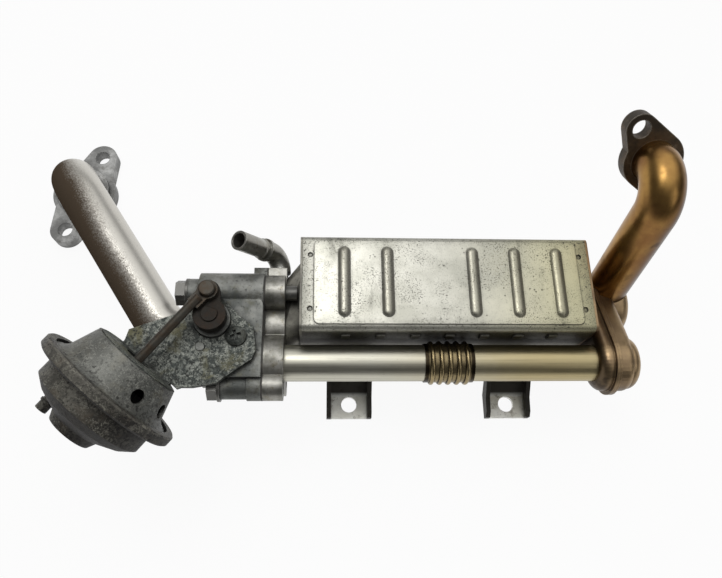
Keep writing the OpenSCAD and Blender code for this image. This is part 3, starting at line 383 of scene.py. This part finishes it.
def satinPipe(name, look, seed):
    s = sheetFor(name, seed)
    y = s.axes()[1]
    cloud = s.noise(28.0, 4.0, 0.6)
    fine = s.noise(2.0, 4.0, 0.5)
    blot = s.noise(7.0, 5.0, 0.62)
    high = (y + (cloud - 0.5) * 40.0).ramp(55.0, 140.0)
    grit = s.noise(0.8, 4.0, 0.7)
    # painted shade on the side facing shadeFrom, stronger higher up the pipe, in a brown heat-stain
    # colour
    side = s.facing(look["shadeFrom"]) + (cloud - 0.5) * 0.5 + (grit - 0.5) * 1.1 + high * 0.35
    stainAndShade = side.ramp(-0.28, 0.62)
    color = s.mix(stainAndShade * 0.97, look["steel"], look["shade"])
    dots = s.noise(1.0, 3.0, 0.6).ramp(0.67, 0.75)
    mist = s.noise(0.6, 3.0, 0.65).ramp(0.52, 0.72) * side.ramp(-0.4, 0.3)
    # painted shade in the corners, joined with real dots and grime
    corner = s.recess(6.0).ramp(0.3, 0.85)
    dirtAndShade = (dots * 0.5 + corner * 0.6 + mist * 0.35).least(0.9)
    color = s.mix(dirtAndShade, color, look["sootAndShade"])
    rough = look["roughness"] + (fine - 0.5) * 0.12 + dirtAndShade * 0.25 + stainAndShade * 0.35
    metal = 1.0 - (dirtAndShade * 0.6).most(stainAndShade)
    height = fine * 0.4 + blot * 0.6
    return s.finish(color, rough.least(0.85), metal, height, 0.03, gloss=look["gloss"])


dress(satinPipe("outlet_steel", outletLook, 7.0), "outlet_pipe")

outletFlangeLook = {
    "steel": (0.165, 0.165, 0.16),
    "pale": (0.40, 0.40, 0.39),
    "grimeAndShade": (0.070, 0.066, 0.060),
    "stainAndShade": (0.13, 0.125, 0.11),
    "rub": 0.6,
    "roughness": 0.48,
}
flangeLook = {
    "steel": (0.15, 0.148, 0.128),
    "pale": (0.40, 0.39, 0.355),
    "grimeAndShade": (0.035, 0.033, 0.027),
    "stainAndShade": (0.17, 0.145, 0.085),
    "roughness": 0.42,
}
ductLook = {
    "steel": (0.14, 0.135, 0.118),
    "pale": (0.30, 0.29, 0.25),
    "grimeAndShade": (0.022, 0.020, 0.017),
    "roughness": 0.5,
}
nozzleLook = {
    "steel": (0.30, 0.29, 0.26),
    "pale": (0.52, 0.52, 0.48),
    "grimeAndShade": (0.045, 0.042, 0.032),
    "stainAndShade": (0.17, 0.145, 0.095),
    "roughness": 0.36,
}
bracketLook = {
    "reach": 15.0,                            # how far the painted shade under the tube spreads, mm
    "open": 0.62,                             # how closed a corner is before it takes painted shade
    "wall": 2.6,                              # width of the painted shade on the side walls, mm
    "foot": 3.0,                              # the web above this height gets painted shade, mm
    "steel": (0.82, 0.81, 0.74),
    "pale": (0.95, 0.95, 0.91),
    "side": (0.030, 0.026, 0.020),            # walls and web: painted shade with a little rust colour
    "grimeAndShade": (0.028, 0.024, 0.018),
    "stainAndShade": (0.16, 0.125, 0.075),
    "rub": 0.9,
    "rubWidth": 1.5,
    "gloss": 0.15,
    "roughness": 0.46,
}


def wornSteel(name, look, seed, piece=None):
    s = sheetFor(name, seed)
    cloud = s.noise(14.0, 5.0, 0.6)
    fine = s.noise(1.2, 5.0, 0.62)
    blot = s.noise(4.5, 5.0, 0.62)
    color = s.mix(cloud.ramp(0.38, 0.66), look["steel"], look["pale"])
    if "stainAndShade" in look:
        color = s.mix(blot.ramp(0.52, 0.74) * 0.7, color, look["stainAndShade"])
    rub = s.edge(look.get("rubWidth", 0.7))
    color = s.mix(rub * look.get("rub", 0.35), color, look["pale"])
    bare = 1.0
    if piece:
        x, _, z = s.axes()
        low, high = cornersOf(piece)
        # painted shade: the side walls and the web above the foot are darkened
        wall = 1.0 - (x - low.x).least(high.x - x).ramp(look["wall"] - 0.6, look["wall"] + 0.6)
        wall = wall.most((z - low.z).ramp(look["foot"] - 0.4, look["foot"] + 1.5)) * 0.97
        color = s.mix(wall, color, look["side"])
        bare = 1.0 - wall
    # painted shade in corners and under other pieces, joined with real dots
    corner = s.recess(look.get("reach", 6.0)).ramp(look.get("open", 0.2), 0.85)
    dots = s.noise(0.9, 3.0, 0.6).ramp(0.60, 0.70) * blot.ramp(0.42, 0.58)
    dirtAndShade = (corner * 0.8 + dots * 0.7).least(0.95)
    color = s.mix(dirtAndShade, color, look["grimeAndShade"])
    rough = look["roughness"] + (fine - 0.5) * 0.24 + dirtAndShade * 0.25 - rub * 0.08
    metal = 0.9 * (1.0 - dirtAndShade * 0.65) * bare
    return s.finish(color, rough, metal, fine * 0.5 + blot * 0.6, 0.08, 0.5, look.get("gloss", 0.5))


dress(wornSteel("outlet_flange_steel", outletFlangeLook, 8.0), "outlet_flange")
dress(wornSteel("cooler_flange_steel", flangeLook, 15.0), "cooler_flange")
dress(wornSteel("duct_steel", ductLook, 17.0), "outlet_cone")
dress(wornSteel("nozzle_steel", nozzleLook, 18.0), "coolant_nozzle_front", "coolant_nozzle_rear")
for seed, piece in ((19.0, "bracket_left"), (25.0, "bracket_right")):
    dress(wornSteel(piece + "_steel", bracketLook, seed, piece), piece)

castLook = {
    "alloy": (0.100, 0.105, 0.098),
    "pale": (0.36, 0.362, 0.335),
    "grimeAndShade": (0.026, 0.027, 0.025),
    "stainAndShade": (0.12, 0.115, 0.08),
    "roughness": 0.52,
}


def castMetal(name, look, seed):
    s = sheetFor(name, seed)
    cloud = s.noise(18.0, 5.0, 0.6)
    sand = s.noise(0.7, 4.0, 0.6)
    blot = s.noise(5.5, 5.0, 0.62)
    color = s.mix(cloud.ramp(0.38, 0.66) * 0.7, look["alloy"], look["pale"])
    color = s.mix(blot.ramp(0.50, 0.70) * 0.55, color, look["stainAndShade"])
    rub = s.edge(1.0)
    color = s.mix(rub * 0.4, color, look["pale"])
    # painted shade in corners, joined with real pits
    corner = s.recess(8.0).ramp(0.15, 0.75)
    pits = s.noise(1.5, 4.0, 0.62).ramp(0.56, 0.68)
    dirtAndShade = (corner * 0.85 + pits * 0.55).least(0.95)
    color = s.mix(dirtAndShade, color, look["grimeAndShade"])
    rough = look["roughness"] + (sand - 0.5) * 0.25 + dirtAndShade * 0.2
    return s.finish(color, rough, 0.7 - dirtAndShade * 0.4, sand * 0.8 + blot * 0.8, 0.16, 0.8)


dress(castMetal("housing_alloy", castLook, 9.0), "valve_housing")

armLook = {
    "zinc": (0.034, 0.040, 0.036),
    "bloom": (0.42, 0.435, 0.385),            # white corrosion
    "grimeAndShade": (0.020, 0.021, 0.018),
    "stainAndShade": (0.125, 0.115, 0.058),
    "crystal": 0.38,
    "dustAndSheen": 0.00,
    "under": 0.50,
    "metal": 0.6,
    "roughness": 0.5,
}
cupLook = {
    "zinc": (0.075, 0.078, 0.071),
    "bloom": (0.29, 0.29, 0.26),
    "grimeAndShade": (0.020, 0.019, 0.016),
    "stainAndShade": (0.095, 0.085, 0.055),
    "crystal": 0.10,
    "dustAndSheen": 0.35,
    "under": 0.85,
    "metal": 0.7,
    "roughness": 0.44,
}
canLook = {
    "zinc": (0.036, 0.033, 0.029),
    "bloom": (0.25, 0.24, 0.20),
    "grimeAndShade": (0.016, 0.014, 0.013),
    "stainAndShade": (0.085, 0.065, 0.046),
    "crystal": 0.30,
    "dustAndSheen": 0.35,
    "under": 0.80,
    "metal": 0.6,
    "roughness": 0.5,
}
screwLook = {
    "zinc": (0.055, 0.062, 0.054),
    "bloom": (0.16, 0.17, 0.155),
    "grimeAndShade": (0.014, 0.014, 0.013),
    "stainAndShade": (0.06, 0.056, 0.042),
    "crystal": 0.20,
    "dustAndSheen": 0.10,
    "under": 0.40,
    "metal": 0.75,
    "roughness": 0.42,
}


def mottled(name, look, seed):
    s = sheetFor(name, seed)
    cloud = s.noise(16.0, 5.0, 0.62)
    blot = s.noise(3.2, 5.0, 0.7)
    fine = s.noise(0.7, 4.0, 0.7)
    tone = s.axes(s.cells(1.3, "Color"))[0]   # flat crystals of the zinc
    bloom = (fine * 0.6 + blot * 0.4).ramp(0.50, 0.58) * cloud.ramp(0.36, 0.60)
    crystal = (tone * 0.8 + (blot - 0.5)).ramp(0.2, 0.9) * look["crystal"]
    color = s.mix(crystal, look["zinc"], look["bloom"])
    color = s.mix(bloom, color, look["bloom"])
    color = s.mix(s.noise(11.0, 4.0, 0.6, 0.5).ramp(0.50, 0.68) * 0.7, color, look["stainAndShade"])
    # painted sheen on surfaces that face the overhead light, with some real dust
    dustAndSheen = s.facing((0.25, 0.45, 0.86)).ramp(0.45, 0.98) * look["dustAndSheen"]
    rub = s.edge(0.8)
    color = s.mix((rub * 0.3).most(dustAndSheen), color, look["bloom"])
    # painted shade on surfaces facing down and in corners, joined with real pits
    under = s.facing((-0.3, -0.65, -0.7)).ramp(-0.55, 0.45) * look["under"]
    corner = s.recess(14.0).ramp(0.2, 0.75)
    pits = s.noise(1.3, 4.0, 0.6).ramp(0.52, 0.62) * (1.0 - cloud).ramp(0.32, 0.58)
    dirtAndShade = (corner * 0.85 + pits * 0.9 + under).least(0.95)
    color = s.mix(dirtAndShade, color, look["grimeAndShade"])
    rough = look["roughness"] + (fine - 0.5) * 0.25 + bloom * 0.2 + dirtAndShade * 0.2 - rub * 0.1
    shine = look["metal"] * (1.0 - bloom * 0.5 - dirtAndShade * 0.4)
    height = fine * 0.6 + blot * 0.8 + tone * look["crystal"] * 0.7
    return s.finish(color, rough, shine, height, 0.14, 0.5)


dress(mottled("arm_zinc", armLook, 10.0), "actuator_bracket")
dress(mottled("cup_zinc", cupLook, 11.0), "actuator_cup")
dress(mottled("can_zinc", canLook, 12.0), "actuator_can", "vacuum_nipple")
dress(mottled("screw_zinc", screwLook, 14.0),
      "bracket_screw", "flap_screws", "diaphragm_plate", "return_spring")

leverLook = {
    "steel": (0.017, 0.015, 0.012),
    "rust": (0.023, 0.015, 0.010),
    "pale": (0.055, 0.047, 0.036),
    "grimeAndShade": (0.008, 0.007, 0.006),
    "roughness": 0.48,
}
rodLook = {
    "steel": (0.066, 0.062, 0.052),
    "rust": (0.062, 0.046, 0.032),
    "pale": (0.18, 0.165, 0.14),
    "grimeAndShade": (0.020, 0.017, 0.014),
    "roughness": 0.46,
}


def rustySteel(name, look, seed):
    s = sheetFor(name, seed)
    cloud = s.noise(9.0, 5.0, 0.62)
    blot = s.noise(3.2, 5.0, 0.65)
    fine = s.noise(0.6, 4.0, 0.65)
    color = s.mix((cloud * 0.5 + blot * 0.5).ramp(0.42, 0.62), look["steel"], look["rust"])
    rub = s.edge(0.6)
    color = s.mix((rub * 0.5 + fine.ramp(0.60, 0.74) * 0.35).least(0.8), color, look["pale"])
    # painted shade in the corners
    corner = s.recess(6.0).ramp(0.25, 0.85)
    color = s.mix(corner * 0.7, color, look["grimeAndShade"])
    rough = look["roughness"] + (fine - 0.5) * 0.3 + corner * 0.2 - rub * 0.1
    return s.finish(color, rough, 0.6 - corner * 0.3, fine * 0.7 + blot, 0.12, 0.5, 0.25)


dress(rustySteel("lever_steel", leverLook, 13.0), "lever_arm", "valve_shaft", "bypass_flap")
dress(rustySteel("rod_steel", rodLook, 24.0), "actuator_rod", "lever_pin")

boltLook = {
    "steel": (0.13, 0.128, 0.118),
    "worn": (0.42, 0.41, 0.38),
    "roughness": 0.4,
}


def darkBolt(name, look, seed):
    s = sheetFor(name, seed)
    blot = s.noise(3.0, 4.0, 0.6)
    fine = s.noise(0.5, 4.0, 0.6)
    rub = s.edge(0.6)
    worn = (rub * 0.7 + blot.ramp(0.55, 0.75) * 0.25).least(0.9)
    color = s.mix(worn, look["steel"], look["worn"])
    rough = look["roughness"] + (fine - 0.5) * 0.2 - rub * 0.12
    return s.finish(color, rough, 0.7, fine * 0.6 + blot, 0.06, 0.4)


dress(darkBolt("bolt_steel", boltLook, 16.0), "flange_bolts")

innerLook = {
    "base": (0.40, 0.375, 0.32),
    "cover": (0.05, 0.045, 0.04),             # soot
    "metal": 0.9,
    "roughness": 0.4,
}
bushLook = {
    "base": (0.42, 0.30, 0.14),
    "cover": (0.14, 0.10, 0.06),              # old oil
    "metal": 0.9,
    "roughness": 0.45,
}
rubberLook = {
    "base": (0.018, 0.018, 0.018),
    "cover": (0.075, 0.070, 0.062),           # dust
    "metal": 0.0,
    "roughness": 0.72,
}
gasketLook = {
    "base": (0.060, 0.057, 0.052),
    "cover": (0.15, 0.14, 0.12),
    "metal": 0.0,
    "roughness": 0.8,
}


def hiddenPiece(name, look, seed):
    s = sheetFor(name, seed)
    cloud = s.noise(8.0, 5.0, 0.62)
    fine = s.noise(0.8, 4.0, 0.6)
    film = cloud.ramp(0.45, 0.72)
    color = s.mix(film * 0.7, look["base"], look["cover"])
    rough = look["roughness"] + (fine - 0.5) * 0.2 + film * 0.15
    return s.finish(color, rough, look["metal"] * (1.0 - film * 0.5), fine + cloud, 0.06)


dress(hiddenPiece("core_steel", innerLook, 20.0), "gas_tubes", "header_left", "header_right")
dress(hiddenPiece("bush_bronze", bushLook, 21.0), "shaft_bushes")
dress(hiddenPiece("rubber", rubberLook, 22.0), "diaphragm", "shaft_seal")
dress(hiddenPiece("gasket_fibre", gasketLook, 23.0), "flange_gasket")

smoothAngle = math.radians(32.0)
for piece in nodes.values():
    mesh = piece.data
    mesh.shade_smooth()
    mesh.set_sharp_from_angle(angle=smoothAngle)
print("shading set")

studio = {
    "floorColor": (0.93, 0.93, 0.92),
    "floorGlow": 0.93,                        # share of plain white seen on the floor
    "topLight": 1.2,                          # soft light overhead
    "sideLight": 0.10,                        # darker room between the top and the horizon
    "horizonLight": 0.40,
    "keyPower": 2.6,
    "keyPlace": (-0.30, 0.35, 1.1),
    "fillPower": 0.9,
    "fillPlace": (0.75, -0.45, 0.8),
    "middle": (0.0, 0.04, 0.03),              # where the fill lamp points
    "floorSpan": 12.0,                        # half the floor's width, metres
}


def lamp(name, place, target, size, power):
    light = bpy.data.lights.new(name, "AREA")
    light.shape = "DISK"
    light.size = size
    light.energy = power
    holder = bpy.data.objects.new(name, light)
    bpy.context.scene.collection.objects.link(holder)
    aim = (Vector(target) - Vector(place)).to_track_quat("-Z", "Y")
    holder.matrix_world = Matrix.Translation(Vector(place)) @ aim.to_matrix().to_4x4()


def makeFloor():
    mesh = bpy.data.meshes.new("floor")
    span = studio["floorSpan"]
    ring = [(-span, -span, 0), (span, -span, 0), (span, span, 0), (-span, span, 0)]
    mesh.from_pydata(ring, [], [(0, 1, 2, 3)])
    floor = bpy.data.objects.new("floor", mesh)
    bpy.context.scene.collection.objects.link(floor)
    floor.location = (0.0, 0.0, cadBox[0][2] - 0.0005)
    s = sheetFor("floor_paper", 30.0)
    paper = s.node("ShaderNodeBsdfDiffuse", {}, {"Color": studio["floorColor"]})
    glow = s.node("ShaderNodeEmission", {}, {"Color": (1.0, 1.0, 1.0), "Strength": 1.0})
    seen = s.node("ShaderNodeLightPath", {}, {}, "Is Camera Ray")
    seen = seen.most(s.node("ShaderNodeLightPath", {}, {}, "Is Glossy Ray"))
    seen = seen.most(s.node("ShaderNodeLightPath", {}, {}, "Is Transmission Ray"))
    both = s.node("ShaderNodeMixShader", {}, {0: seen * studio["floorGlow"], 1: paper, 2: glow})
    mesh.materials.append(s.show(both, "ShaderNodeOutputMaterial"))


makeFloor()
world = bpy.data.worlds.new("studio")
bpy.context.scene.world = world
sky = Sheet(world, 0.0, "Generated")
eastward, northward, upward = sky.axes(sky.place)
# the soft light stands a little behind the way that the cover mirrors the camera
overhead = eastward * 0.14 + northward * 0.46 + upward * 0.875
level = overhead.ramp(0.55, 0.97) * (studio["topLight"] - studio["sideLight"]) + studio["sideLight"]
level = level + (1.0 - upward.size().ramp(0.02, 0.22)) * studio["horizonLight"]
glow = sky.node("ShaderNodeBackground", {}, {"Color": (1.0, 1.0, 1.0), "Strength": level})
sky.show(glow, "ShaderNodeOutputWorld")
lamp("key", studio["keyPlace"], (-0.02, 0.04, 0.03), 0.5, studio["keyPower"])
lamp("fill", studio["fillPlace"], studio["middle"], 0.6, studio["fillPower"])
print("studio set")

lens = {
    "place": (-0.0618, -0.0700, 0.3819),      # metres, fitted to the corners of the cover
    "right": (0.9983, -0.0145, 0.0565),
    "down": (0.0063, -0.9363, -0.3510),
    "ahead": (0.0579, 0.3508, -0.9347),
    "sensor": 36.0,                           # mm
    "focal": 650.0 / 722.0,                   # share of the picture's width
}
camera = bpy.data.objects.new("camera", bpy.data.cameras.new("camera"))
bpy.context.scene.collection.objects.link(camera)
camera.data.sensor_width = lens["sensor"]
camera.data.lens = lens["focal"] * lens["sensor"]
right, down, ahead = (Vector(lens[key]).normalized() for key in ("right", "down", "ahead"))
turn = Matrix((right, -down, -ahead)).transposed()
camera.matrix_world = Matrix.Translation(Vector(lens["place"])) @ turn.to_4x4()
bpy.context.scene.camera = camera
bpy.context.scene.view_settings.view_transform = "Standard"
print("camera set")
